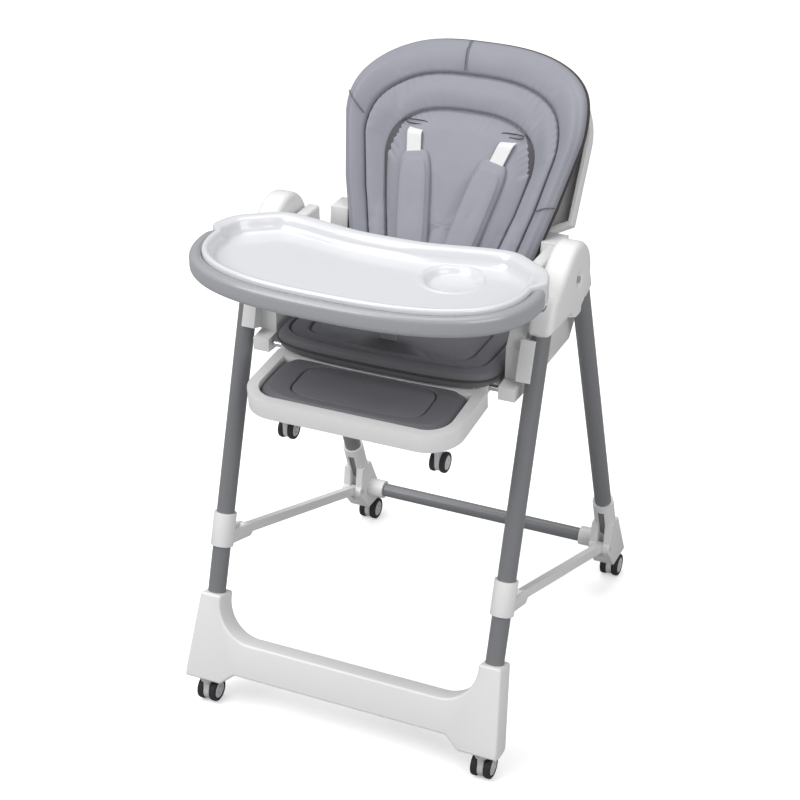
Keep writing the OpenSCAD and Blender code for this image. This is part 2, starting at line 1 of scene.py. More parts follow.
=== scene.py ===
import math
import bpy
import bmesh
import numpy as np
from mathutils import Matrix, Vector


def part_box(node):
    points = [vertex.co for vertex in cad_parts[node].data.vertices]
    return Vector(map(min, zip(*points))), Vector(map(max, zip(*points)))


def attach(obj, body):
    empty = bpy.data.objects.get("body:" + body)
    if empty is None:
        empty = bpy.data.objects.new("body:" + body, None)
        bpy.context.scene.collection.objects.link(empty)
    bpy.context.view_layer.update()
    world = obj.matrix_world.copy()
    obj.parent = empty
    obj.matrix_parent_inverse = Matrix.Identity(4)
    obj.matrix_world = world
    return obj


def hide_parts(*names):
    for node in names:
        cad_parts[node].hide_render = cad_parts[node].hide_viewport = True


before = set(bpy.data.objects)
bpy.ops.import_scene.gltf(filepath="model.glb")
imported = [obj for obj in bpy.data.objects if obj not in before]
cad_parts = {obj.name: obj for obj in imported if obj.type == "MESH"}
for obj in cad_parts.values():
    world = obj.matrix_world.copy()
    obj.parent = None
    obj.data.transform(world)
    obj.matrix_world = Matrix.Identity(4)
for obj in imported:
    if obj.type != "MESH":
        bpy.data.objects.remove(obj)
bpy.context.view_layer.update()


# ---- camera, floor and lights ----------------------------------------------
# A studio stand: a white floor, a white surround and three soft boxes.
# None of it belongs to the chair.
camera = bpy.data.objects.new("camera", bpy.data.cameras.new("camera"))
bpy.context.scene.collection.objects.link(camera)
camera.location = (1.0974, -2.538, 1.9569)
camera.rotation_euler = (math.radians(90 - 28.139), 0, math.radians(24.091))
camera.data.lens = 84.2
camera.data.dof.use_dof = False
bpy.context.scene.camera = camera
bpy.context.scene.view_settings.view_transform = "Standard"


def grain_group():
    """Shader group for moulded and painted surfaces: slow noise spreads the roughness about its value,
    and fine noise, read as a height, tilts the normal."""
    group = bpy.data.node_groups.new("fine_grain", "ShaderNodeTree")
    for name, value in (("Roughness", 0.4), ("Spread", 0.06), ("Scale", 900.0), ("Depth", 0.04)):
        group.interface.new_socket(name, in_out="INPUT", socket_type="NodeSocketFloat").default_value = value
    group.interface.new_socket("Roughness", in_out="OUTPUT", socket_type="NodeSocketFloat")
    group.interface.new_socket("Normal", in_out="OUTPUT", socket_type="NodeSocketVector")
    n, link = group.nodes, group.links.new
    a, b = n.new("NodeGroupInput"), n.new("NodeGroupOutput")
    place = n.new("ShaderNodeTexCoord")
    slow, fine = n.new("ShaderNodeTexNoise"), n.new("ShaderNodeTexNoise")
    slow.inputs["Scale"].default_value = 14
    spread, centre, total = (n.new("ShaderNodeMath") for _ in range(3))
    centre.operation, spread.operation = "SUBTRACT", "MULTIPLY"
    centre.inputs[1].default_value = 0.5
    bump = n.new("ShaderNodeBump")
    bump.inputs["Distance"].default_value = 0.0004
    link(place.outputs["Object"], slow.inputs["Vector"])
    link(place.outputs["Object"], fine.inputs["Vector"])
    link(a.outputs["Scale"], fine.inputs["Scale"])
    link(slow.outputs["Fac"], centre.inputs[0])
    link(centre.outputs[0], spread.inputs[0])
    link(a.outputs["Spread"], spread.inputs[1])
    link(spread.outputs[0], total.inputs[0])
    link(a.outputs["Roughness"], total.inputs[1])
    link(fine.outputs["Fac"], bump.inputs["Height"])
    link(a.outputs["Depth"], bump.inputs["Strength"])
    link(total.outputs[0], b.inputs["Roughness"])
    link(bump.outputs["Normal"], b.inputs["Normal"])
    return group


def cloth_group():
    """Shader group for coated cloth and webbing: two crossed waves a thread apart, read as a height,
    tilt the normal, and slow noise lightens and darkens the colour a little."""
    group = bpy.data.node_groups.new("woven", "ShaderNodeTree")
    group.interface.new_socket("Color", in_out="INPUT", socket_type="NodeSocketColor")
    for name, value in (("Threads", 420.0), ("Depth", 0.15)):
        group.interface.new_socket(name, in_out="INPUT", socket_type="NodeSocketFloat").default_value = value
    group.interface.new_socket("Color", in_out="OUTPUT", socket_type="NodeSocketColor")
    group.interface.new_socket("Normal", in_out="OUTPUT", socket_type="NodeSocketVector")
    n, link = group.nodes, group.links.new
    a, b = n.new("NodeGroupInput"), n.new("NodeGroupOutput")
    place = n.new("ShaderNodeTexCoord")
    warp, weft = n.new("ShaderNodeTexWave"), n.new("ShaderNodeTexWave")
    weft.bands_direction = "Z"
    both = n.new("ShaderNodeMath")
    both.operation = "MAXIMUM"
    bump = n.new("ShaderNodeBump")
    bump.inputs["Distance"].default_value = 0.0005
    slow, shade = n.new("ShaderNodeTexNoise"), n.new("ShaderNodeMapRange")
    slow.inputs["Scale"].default_value = 22
    shade.inputs["To Min"].default_value, shade.inputs["To Max"].default_value = 0.94, 1.05
    tint = n.new("ShaderNodeVectorMath")
    tint.operation = "SCALE"
    for wave in (warp, weft):
        link(place.outputs["Object"], wave.inputs["Vector"])
        link(a.outputs["Threads"], wave.inputs["Scale"])
    link(warp.outputs["Fac"], both.inputs[0])
    link(weft.outputs["Fac"], both.inputs[1])
    link(both.outputs[0], bump.inputs["Height"])
    link(a.outputs["Depth"], bump.inputs["Strength"])
    link(place.outputs["Object"], slow.inputs["Vector"])
    link(slow.outputs["Fac"], shade.inputs["Value"])
    link(a.outputs["Color"], tint.inputs[0])
    link(shade.outputs["Result"], tint.inputs["Scale"])
    link(tint.outputs[0], b.inputs["Color"])
    link(bump.outputs["Normal"], b.inputs["Normal"])
    return group


GRAIN, WOVEN = grain_group(), cloth_group()


def hard(name, color, rough, depth=0.04, metallic=0.0, coat=0.0):
    """Material of a moulded, painted or metal piece, with the shared grain on its roughness and normal."""
    m = bpy.data.materials.new(name)
    m.use_nodes = True
    shader = m.node_tree.nodes["Principled BSDF"]
    shader.inputs["Base Color"].default_value = (*color, 1)
    shader.inputs["Metallic"].default_value = metallic
    shader.inputs["Coat Weight"].default_value = coat
    shader.inputs["Coat Roughness"].default_value = 0.08
    grain = m.node_tree.nodes.new("ShaderNodeGroup")
    grain.node_tree = GRAIN
    grain.inputs["Roughness"].default_value = rough
    grain.inputs["Depth"].default_value = depth
    m.node_tree.links.new(grain.outputs["Roughness"], shader.inputs["Roughness"])
    m.node_tree.links.new(grain.outputs["Normal"], shader.inputs["Normal"])
    return m


def cloth(name, color, rough, threads, depth, sheen=0.15):
    """Material of a cloth piece, with the shared weave on its colour and normal."""
    m = bpy.data.materials.new(name)
    m.use_nodes = True
    shader = m.node_tree.nodes["Principled BSDF"]
    shader.inputs["Roughness"].default_value = rough
    shader.inputs["Sheen Weight"].default_value = sheen
    weave = m.node_tree.nodes.new("ShaderNodeGroup")
    weave.node_tree = WOVEN
    weave.inputs["Color"].default_value = (*color, 1)
    weave.inputs["Threads"].default_value = threads
    weave.inputs["Depth"].default_value = depth
    m.node_tree.links.new(weave.outputs["Color"], shader.inputs["Base Color"])
    m.node_tree.links.new(weave.outputs["Normal"], shader.inputs["Normal"])
    return m


WHITE = hard("white_plastic", (0.76, 0.76, 0.755), 0.36)
GREY_PAINT = hard("grey_paint", (0.185, 0.189, 0.198), 0.38, 0.07, 0.0, 0.1)
STEEL = hard("turned_steel", (0.62, 0.62, 0.64), 0.3, 0.05, 1.0)
TRAY_GREY = hard("tray_grey_plastic", (0.33, 0.34, 0.36), 0.27, 0.03, 0.0, 0.25)
TRAY_WHITE = hard("tray_white_plastic", (0.66, 0.665, 0.69), 0.2, 0.01, 0.0, 0.4)
CONTROL = hard("control_plastic", (0.30, 0.31, 0.33), 0.42)
HOOD = hard("caster_hood_plastic", (0.56, 0.57, 0.58), 0.3, 0.03)
RUBBER = hard("tyre_rubber", (0.018, 0.018, 0.02), 0.62, 0.2)
PAD = cloth("pad_cloth", (0.275, 0.280, 0.322), 0.58, 300, 0.10, 0.1)
# Darker copy of the pad cloth: painted shade for the seat, crotch sleeve and footrest cushions under the tray.
PAD_PAINTED_SHADE = cloth("pad_cloth_painted_shade", (0.135, 0.136, 0.150), 0.58, 300, 0.10, 0.08)
PAD_DARK = cloth("gusset_cloth", (0.09, 0.088, 0.098), 0.7, 260, 0.3)
PIPING = cloth("piping_cloth", (0.045, 0.035, 0.034), 0.55, 500, 0.2)
WEB_WHITE = cloth("webbing_white", (0.80, 0.80, 0.80), 0.6, 520, 0.5)
WEB_GREY = cloth("webbing_grey", (0.40, 0.40, 0.41), 0.6, 520, 0.5)


def place(name, mesh, material, body, slot, replaces=(), padded=None):
    """Makes the object of a finished mesh and says what it rides on, stands for and is finished as."""
    mesh.materials.clear()
    mesh.materials.append(material)
    obj = bpy.data.objects.new(name, mesh)
    bpy.context.scene.collection.objects.link(obj)
    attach(obj, body)
    if replaces:
        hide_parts(*replaces)
    return obj


def surface(points, wrap_u=True, wrap_v=False, caps=True):
    """Mesh of a surface given as points[i, j] of two parameters: neighbours are joined by quads,
    round the first parameter and along the second, and the two ends of the second are capped by fans."""
    nu, nv = points.shape[:2]
    i, j = np.meshgrid(np.arange(nu if wrap_u else nu - 1), np.arange(nv if wrap_v else nv - 1), indexing="ij")
    i2, j2 = (i + 1) % nu, (j + 1) % nv
    quads = np.stack([i * nv + j, i2 * nv + j, i2 * nv + j2, i * nv + j2], -1).reshape(-1, 4).tolist()
    verts = points.reshape(-1, 3).tolist()
    if caps and not wrap_v:
        for ring, turn in ((0, -1), (nv - 1, 1)):
            middle = len(verts)
            verts.append(points[:, ring].mean(0).tolist())
            for a in range(nu):
                b = (a + 1) % nu
                fan = (a * nv + ring, b * nv + ring, middle)
                quads.append(fan if turn > 0 else fan[::-1])
    mesh = bpy.data.meshes.new("surface")
    mesh.from_pydata(verts, [], quads)
    mesh.validate()
    tidy = bmesh.new()
    tidy.from_mesh(mesh)
    bmesh.ops.recalc_face_normals(tidy, faces=tidy.faces)
    tidy.to_mesh(mesh)
    tidy.free()
    mesh.polygons.foreach_set("use_smooth", np.ones(len(mesh.polygons), bool))
    return mesh


def soften(node, width, pick=None, segments=3, clamp=True):
    """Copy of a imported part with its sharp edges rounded: flat neighbours are merged, every edge that
    turns over 28 degrees and that pick keeps is beveled by width, and the rest is smooth below 38 degrees."""
    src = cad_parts[node].data
    bm = bmesh.new()
    bm.from_mesh(src)
    bmesh.ops.remove_doubles(bm, verts=bm.verts, dist=1e-5)
    bmesh.ops.dissolve_limit(bm, angle_limit=math.radians(0.4), verts=bm.verts, edges=bm.edges)
    chosen = []
    for e in bm.edges:
        if len(e.link_faces) == 2 and e.calc_face_angle(0) > math.radians(28):
            if pick is None or pick(e.verts[0].co, e.verts[1].co):
                chosen.append(e)
    if chosen:
        bmesh.ops.bevel(bm, geom=chosen, offset=width, segments=segments, profile=0.5,
                        affect="EDGES", clamp_overlap=clamp)
    mesh = bpy.data.meshes.new(node + "_soft")
    bm.verts.index_update()
    mesh.from_pydata([tuple(v.co) for v in bm.verts], [], [[v.index for v in f.verts] for f in bm.faces])
    bm.free()
    mesh.polygons.foreach_set("use_smooth", np.ones(len(mesh.polygons), bool))
    mesh.set_sharp_from_angle(angle=math.radians(38))
    return mesh


floor_mesh = bpy.data.meshes.new("floor")
floor_mesh.from_pydata([(-9, -9, 0), (9, -9, 0), (9, 9, 0), (-9, 9, 0)], [], [(0, 1, 2, 3)])
floor = bpy.data.objects.new("floor", floor_mesh)
paper = hard("floor_white", (0.93, 0.93, 0.93), 0.8, 0.0)
shader = paper.node_tree.nodes["Principled BSDF"]
shader.inputs["Emission Color"].default_value = (1, 1, 1, 1)
shader.inputs["Emission Strength"].default_value = 0.36
dim = paper.node_tree.nodes.new("ShaderNodeBsdfDiffuse")
dim.inputs["Color"].default_value = (0.42, 0.42, 0.43, 1)
rays, mix = paper.node_tree.nodes.new("ShaderNodeLightPath"), paper.node_tree.nodes.new("ShaderNodeMixShader")
paper.node_tree.links.new(rays.outputs["Is Camera Ray"], mix.inputs["Fac"])
paper.node_tree.links.new(dim.outputs[0], mix.inputs[1])
paper.node_tree.links.new(shader.outputs[0], mix.inputs[2])
paper.node_tree.links.new(mix.outputs[0], paper.node_tree.nodes["Material Output"].inputs["Surface"])
floor_mesh.materials.append(paper)
bpy.context.scene.collection.objects.link(floor)
world = bpy.data.worlds.new("studio")
world.use_nodes = True
world.node_tree.nodes["Background"].inputs["Color"].default_value = (1, 1, 1, 1)
world.node_tree.nodes["Background"].inputs["Strength"].default_value = 0.30
seen = world.node_tree.nodes.new("ShaderNodeBackground")
seen.inputs["Color"].default_value = (1, 1, 1, 1)
seen.inputs["Strength"].default_value = 1.0
rays, mix = world.node_tree.nodes.new("ShaderNodeLightPath"), world.node_tree.nodes.new("ShaderNodeMixShader")
world.node_tree.links.new(rays.outputs["Is Camera Ray"], mix.inputs["Fac"])
world.node_tree.links.new(world.node_tree.nodes["Background"].outputs[0], mix.inputs[1])
world.node_tree.links.new(seen.outputs[0], mix.inputs[2])
world.node_tree.links.new(mix.outputs[0], world.node_tree.nodes["World Output"].inputs["Surface"])
bpy.context.scene.world = world
for name, at, size, power in (("key", (-1.7, -2.2, 3.1), 2.2, 84), ("fill", (2.7, -1.6, 2.3), 2.2, 52)):
    light = bpy.data.objects.new(name, bpy.data.lights.new(name, "AREA"))
    light.data.size, light.data.energy = size, power
    light.location = at
    light.rotation_euler = (Vector((0, 0, 0.5)) - Vector(at)).to_track_quat("-Z", "Y").to_euler()
    bpy.context.scene.collection.objects.link(light)


sun = bpy.data.objects.new("sky", bpy.data.lights.new("sky", "SUN"))
sun.data.energy, sun.data.angle = 1.35, math.radians(50)
sun.rotation_euler = (math.radians(-8), math.radians(-10), 0)
bpy.context.scene.collection.objects.link(sun)


# ---- front foot bar --------------------------------------------------------
# The bar across the front of the base, with a socket at each end for a front leg.
# One moulding in white plastic, its long edges well rounded.
LEG_TILT = math.radians(17.7)
LEG_FOOT_Y = -0.3386


def across_leg(p):
    """Distance of a point behind the front legs' plane: its offset from the leg's foot, turned by the tilt."""
    return (p.y - LEG_FOOT_Y) * math.cos(LEG_TILT) - p.z * math.sin(LEG_TILT)


bar = soften("front_foot_bar", 0.0075, lambda a, b: abs(across_leg(a)) > 0.0225 and abs(across_leg(b)) > 0.0225, 4)
place("foot_bar", bar, WHITE, "front_frame", "white_shell", ["front_foot_bar"])

# ---- front legs ------------------------------------------------------------
# Two round steel tubes pressed into the foot bar, leaning back to the shoulders.
# Drawn and powder coated in satin grey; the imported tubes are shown.
for side in ("left", "right"):
    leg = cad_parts["front_leg_" + side]
    leg.data.materials.clear()
    leg.data.materials.append(GREY_PAINT)

# ---- shoulder covers -------------------------------------------------------
# Domed white covers that join each front leg to its rear leg, open below for the hub.
# Moulded plastic with a wide rounding round both faces of the dome.
for side in ("left", "right"):
    low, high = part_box("shoulder_cover_" + side)
    faces = (low.x, high.x)
    on_face = lambda p: min(abs(p.x - faces[0]), abs(p.x - faces[1])) < 3e-4 and p.z > low.z + 0.002
    cover = soften("shoulder_cover_" + side, 0.011, lambda a, b: on_face(a) and on_face(b), 6, False)
    place("shoulder_" + side, cover, WHITE, "front_frame", "white_shell", ["shoulder_cover_" + side])

# ---- fold pivot pins -------------------------------------------------------
# Turned steel pins through each cover and hub, which the rear legs fold about.
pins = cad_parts["fold_pivot_pins"]
pins.data.materials.clear()
pins.data.materials.append(STEEL)

# ---- rear hubs -------------------------------------------------------------
# White hubs on the top of the rear legs, turning inside the shoulder covers.
for side in ("left", "right"):
    place("hub_" + side, soften("rear_hub_" + side, 0.0015), WHITE, "rear_frame", "white_shell", ["rear_hub_" + side])

# ---- rear legs and cross tube ----------------------------------------------
# Two round tubes down to the rear feet and a thinner tube between the feet.
# Steel, powder coated in the same satin grey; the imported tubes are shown.
for name in ("rear_leg_left", "rear_leg_right", "rear_cross_tube"):
    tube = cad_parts[name]
    tube.data.materials.clear()
    tube.data.materials.append(GREY_PAINT)

# ---- rear feet -------------------------------------------------------------
# Sockets for the rear legs, with a collar for the cross tube and a fork for the link.
# Moulded white plastic, edges lightly rounded.
for side in ("left", "right"):
    foot = soften("rear_foot_" + side, 0.003, lambda a, b: (a - b).length > 0.009)
    place("foot_" + side, foot, WHITE, "rear_frame", "white_shell", ["rear_foot_" + side])
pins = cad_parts["link_pins"]
pins.data.materials.clear()
pins.data.materials.append(STEEL)

# ---- fold collars and link bars --------------------------------------------
# A collar slides on each front leg, and a flat bar ties it to the rear foot.
# Moulded white plastic; the bars turn on pins in the rear feet.
for side in ("left", "right"):
    collar = soften("fold_collar_" + side, 0.0022)
    place("collar_" + side, collar, WHITE, "collar_" + side, "white_shell", ["fold_collar_" + side])
    link_mesh = soften("link_bar_" + side, 0.003, lambda a, b: (a - b).length > 0.02)
    place("link_" + side, link_mesh, WHITE, "link_" + side, "white_shell", ["link_bar_" + side])

# ---- seat pan and seat sides -----------------------------------------------
# The pan carries the cushion between two thick side mouldings that ride up the front legs.
# White plastic, with rounded corners.
place("pan", soften("seat_pan", 0.0015), WHITE, "seat", "white_shell", ["seat_pan"])
for side in ("left", "right"):
    panel = soften("seat_side_" + side, 0.004, lambda a, b: (a - b).length > 0.012)
    place("side_" + side, panel, WHITE, "seat", "white_shell", ["seat_side_" + side])
    arm = soften("armrest_" + side, 0.005, lambda a, b: (a - b).length > 0.02)
    place("arm_" + side, arm, WHITE, "seat", "white_shell", ["armrest_" + side])
    button = soften("height_button_" + side, 0.001)
    place("button_" + side, button, CONTROL, "height_button_" + side, "control_grey", ["height_button_" + side])
for name in ("back_hinge_rod", "footrest_rod"):
    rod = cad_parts[name]
    rod.data.materials.clear()
    rod.data.materials.append(STEEL)


# ---- seat cushion ----------------------------------------------------------
# A foam cushion sewn in coated cloth, with a stitched inner panel and piping at its edge.
# It lies on the seat pan, under the tray; its cloth is the pad cloth darkened as painted shade.
def rounded(t, half_x, half_y, power):
    """Point at angle t of a superellipse: each half size times the cosine or sine, raised to 2 over power."""
    c, s = np.cos(t), np.sin(t)
    return half_x * np.sign(c) * np.abs(c) ** (2 / power), half_y * np.sign(s) * np.abs(s) ** (2 / power)


def quilt(outline, centre, thick, grooves, depth=0.006, puff=0.004, edge=0.07, turns=240, pucker=0.0005):
    """Closed pad over a flat outline: rings shrink from the outline towards the centre. The face is thick
    high, less a narrow bell-shaped dip at each seam, plus a bulge between neighbouring seams that is the
    fourth root of a parabola. The rim is half an ellipse and the back is flat. Small waves pucker each seam.
    Returns the points and, for each point, whether it is sewn down."""
    t = np.linspace(0, 2 * np.pi, turns, endpoint=False)
    ox, oy = outline(t)
    crowd = [g + d for g in grooves for d in (-0.024, -0.016, -0.010, -0.006, -0.003, 0, 0.003, 0.006, 0.010, 0.016, 0.024)]
    face = np.unique(np.round(np.concatenate([np.linspace(0.02, 1 - edge, 46), crowd]), 4))
    face = face[face <= 1 - edge]
    n = len(face)
    rim = np.linspace(np.pi / 2, -np.pi / 2, 15)[1:]
    back = np.linspace(1 - edge, 0.05, 8)[1:]
    scale = np.concatenate([face, 1 - edge + edge * np.cos(rim), back])
    height = np.concatenate([np.full(n, thick), thick / 2 * (1 + np.sin(rim)), np.zeros(7)])
    stops = [-0.3, *grooves, 1.0]
    for a, b in zip(stops, stops[1:]):
        inside = (face >= a) & (face < b)
        height[:n][inside] += puff * np.maximum(0, 1 - (2 * (face[inside] - (a + b) / 2) / (b - a)) ** 2) ** 0.5
    for g in grooves:
        height[:n] -= depth * np.exp(-(((face - g) / 0.0065) ** 2))
    points = np.zeros((turns, len(scale), 3))
    points[..., 0] = centre[0] + (ox[:, None] - centre[0]) * scale
    points[..., 1] = centre[1] + (oy[:, None] - centre[1]) * scale
    points[..., 2] = height
    for g in grooves:
        near = np.exp(-(((scale - g) / 0.035) ** 2)) * (np.arange(len(scale)) < n)
        points[..., 2] += pucker * np.sin(t * 61 + 3 * np.sin(t * 5))[:, None] * near
    sewn = np.arange(len(scale)) >= n + 6
    for g in grooves:
        sewn |= (np.arange(len(scale)) < n) & (np.abs(scale - g) < 0.0035)
    return points, np.broadcast_to(sewn, points.shape[:2])


def tube(path, radius, sides=10):
    """Closed tube round a closed path: a circle of radius swept in the plane across the path's direction."""
    along = np.roll(path, -1, 0) - np.roll(path, 1, 0)
    along /= np.linalg.norm(along, axis=1)[:, None]
    normal = np.cross(along, np.broadcast_to([0.13, 0.21, 0.97], along.shape))
    normal /= np.linalg.norm(normal, axis=1)[:, None]
    other = np.cross(along, normal)
    a = np.linspace(0, 2 * np.pi, sides, endpoint=False)
    return path[:, None] + radius * (np.cos(a)[:, None] * normal[:, None] + np.sin(a)[:, None] * other[:, None])


def inflate(mesh, held, push, cap):
    """The sewn cover blown up by its filling: a cloth run of twenty frames with pressure and no weight,
    the vertices that held names kept still, and every vertex's travel shortened to at most cap."""
    obj = bpy.data.objects.new("cover", mesh)
    bpy.context.scene.collection.objects.link(obj)
    start = np.zeros(len(mesh.vertices) * 3)
    mesh.vertices.foreach_get("co", start)
    start = start.reshape(-1, 3)
    group = obj.vertex_groups.new(name="held")
    group.add([int(i) for i in np.flatnonzero(held)], 1.0, "ADD")
    mod = obj.modifiers.new("cloth", "CLOTH")
    mod.settings.quality = 4
    mod.settings.mass = 0.2
    mod.settings.vertex_group_mass = "held"
    mod.settings.use_pressure = True
    mod.settings.uniform_pressure_force = push
    mod.settings.tension_stiffness = mod.settings.compression_stiffness = 20
    mod.settings.bending_stiffness = 0.6
    mod.settings.effector_weights.gravity = 0
    mod.collision_settings.use_collision = False
    mod.point_cache.frame_start, mod.point_cache.frame_end = 1, 20
    for f in range(1, 21):
        bpy.context.scene.frame_set(f)
    end = np.zeros(len(start) * 3)
    obj.evaluated_get(bpy.context.evaluated_depsgraph_get()).data.vertices.foreach_get("co", end)
    move = end.reshape(-1, 3) - start
    far = np.linalg.norm(move, axis=1)[:, None]
    move *= np.minimum(1, cap / np.maximum(far, 1e-9))
    bpy.data.objects.remove(obj)
    mesh.vertices.foreach_set("co", (start + move).ravel())
    mesh.update()
    bpy.context.scene.frame_set(1)
    return mesh


def seat_outline(t):
    """Seat cushion's outline: a square superellipse whose front edge bulges forward as a shallow parabola."""
    x, y = rounded(t, 0.191, 0.097, 6.0)
    return x, y - 0.077 - 0.010 * (y < 0) * (1 - (x / 0.191) ** 2)


low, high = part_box("seat_cushion")
pts, sewn = quilt(seat_outline, (0, -0.077), 0.030, [0.74, 0.90], 0.006, 0.005, 0.08, 260)
pts[..., 2] += low.z
mesh = surface(pts)
rings = np.append(sewn.ravel(), [False, True])
place("seat_pad", inflate(mesh, rings, 3.0, 0.004), PAD_PAINTED_SHADE, "seat", "pad_fabric", ["seat_cushion"], 0.7)
t = np.linspace(0, 2 * np.pi, 260, endpoint=False)
edge = np.stack([*seat_outline(t), np.full(260, low.z + 0.0155)], -1)
place("seat_piping", surface(tube(edge, 0.0022), True, True), PIPING, "seat", "dark_webbing")


# ---- crotch strap ----------------------------------------------------------
# A webbing strap from the front of the seat through a padded sleeve, between the legs.
# Sewn webbing, with a soft sleeve of the pad cloth, darkened as painted shade.
def ribbon(path, wide, thick):
    """Closed flat band along a path of points: at each point a rectangle, wide across and thick through,
    with its thin side along the path's normal."""
    along = np.gradient(path, axis=0)
    along /= np.linalg.norm(along, axis=1)[:, None]
    out = np.cross(along, wide / np.linalg.norm(wide))
    out /= np.linalg.norm(out, axis=1)[:, None]
    half = np.asarray(wide) / 2
    corners = [(-1, -1), (-0.9, -1), (0.9, -1), (1, -1), (1, 1), (0.9, 1), (-0.9, 1), (-1, 1)]
    return np.stack([path + a * half + b * out * thick / 2 for a, b in corners], 0)


low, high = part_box("crotch_strap")
mid = (low + high) / 2
web = ribbon(np.array([[0, mid.y + 0.001, z] for z in np.linspace(low.z, high.z - 0.008, 12)]),
             np.array([0.028, 0, 0]), 0.003)
place("crotch_web", surface(web), WEB_GREY, "seat", "dark_webbing", ["crotch_strap"])
u, v = np.meshgrid(np.linspace(0, 2 * np.pi, 96, endpoint=False), np.linspace(-1.45, 1.45, 40), indexing="ij")
sleeve = np.stack([0.040 * np.sin(v) ** 1.0 * 1.0,
                   mid.y + 0.017 * np.cos(v) ** 0.5 * np.cos(u),
                   high.z - 0.009 + 0.009 * np.cos(v) ** 0.5 * np.sin(u)], -1)
place("crotch_pad", surface(sleeve), PAD_PAINTED_SHADE, "seat", "pad_fabric", (), 0.6)

# ---- back shell ------------------------------------------------------------
# The moulded tray behind the backrest cushion, hinged at its foot on a steel rod.
# White plastic with a raised edge and slots for the straps.
shell = soften("back_shell", 0.003, lambda a, b: (a - b).length > 0.012)
place("shell", shell, WHITE, "backrest", "white_shell", ["back_shell"])
place("lever", soften("recline_lever", 0.0012), CONTROL, "recline_lever", "control_grey", ["recline_lever"])

# ---- backrest cushion ------------------------------------------------------
# The tall padded back: three nested stitched panels under an arched top, wings curving forward.
# Foam sewn in coated cloth, its outer seam piped in dark cloth, held to the shell.
BACK_TILT = math.radians(31)
low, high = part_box("back_hinge_rod")
HINGE = np.array([0, (low.y + high.y) / 2, (low.z + high.z) / 2])


def on_back(points):
    """Points (across, up the backrest, out of it) turned into the frame: up leans back by the tilt."""
    c, s = math.cos(BACK_TILT), math.sin(BACK_TILT)
    return HINGE + np.stack([points[..., 0], points[..., 1] * s - points[..., 2] * c,
                             points[..., 1] * c + points[..., 2] * s], -1)


def ease(x):
    """Smooth step: three squares less two cubes of x held between nought and one."""
    x = np.clip(x, 0, 1)
    return x * x * (3 - 2 * x)


def back_outline(t):
    """Backrest's outline: a broad arch above the shoulders and a squarer foot below, each a superellipse.
    The half width grows from the foot to the shoulders."""
    up = np.sin(t) >= 0
    xa, va = rounded(t, 1.0, 0.150, 2.7)
    xb, vb = rounded(t, 1.0, 0.266, 9.0)
    x, v = np.where(up, xa, xb), 0.290 + np.where(up, va, vb)
    return x * (0.156 + 0.053 * ease((v - 0.02) / 0.30)), v


def wings(points):
    """Backrest points with their wings: beyond 120 mm across, they come forward by up to 30 mm, less at the top."""
    out = points.copy()
    lift = ease((np.abs(points[..., 0]) - 0.12) / 0.09) * (1 - ease((points[..., 1] - 0.31) / 0.13))
    out[..., 2] += 0.034 * lift
    return out


pts, sewn = quilt(back_outline, (0, 0.125), 0.026, [0.62, 0.81], 0.007, 0.006, 0.06, 360)
pts[..., 2] += 0.024
mesh = surface(on_back(wings(pts)))
rings = np.append(sewn.ravel(), [False, True])
place("back_pad", inflate(mesh, rings, 3.0, 0.005), PAD, "backrest", "pad_fabric", ["back_cushion"], 0.75)
t = np.linspace(0, 2 * np.pi, 320, endpoint=False)
seam = np.stack([*back_outline(t), np.full(320, 0.030)], -1)
place("back_piping", surface(tube(on_back(wings(seam)), 0.0030), True, True), PIPING, "backrest", "dark_webbing")

# ---- backrest gusset and cross seams ---------------------------------------
# A dark cloth band joins the cushion's edge to the shell, and three seams cross its outer panel.
# Sewn cloth; the band is a plain wall and the seams are flat threads.
wall = np.stack([np.stack([x * k, 0.235 + (v - 0.235) * k, np.full(320, n)], -1)
                 for x, v in [back_outline(t)] for k, n in ((0.90, 0.006), (0.975, 0.008), (0.985, 0.018), (0.985, 0.029))], 1)
place("back_gusset", surface(on_back(wings(wall))), PAD_DARK, "backrest", "dark_webbing")
far = np.linalg.norm(pts[:, :, :2] - [0, 0.125], axis=2)
for label, turn in (("top", 1.62), ("left", 3.02), ("right", -0.02)):
    row = int(round((turn % (2 * np.pi)) / (2 * np.pi) * pts.shape[0])) % pts.shape[0]
    share = far[row] / far[row].max()
    line_points = pts[row][(share > 0.825) & (np.arange(pts.shape[1]) < pts.shape[1] - 14)] + [0, 0, 0.0046]
    across = np.array([0.0018, 0, 0]) if label == "top" else np.array([0, 0.0010, 0.0015])
    place("back_seam_" + label, surface(ribbon(on_back(wings(line_points)), across, 0.0006)), PAD_DARK,
          "backrest", "dark_webbing")

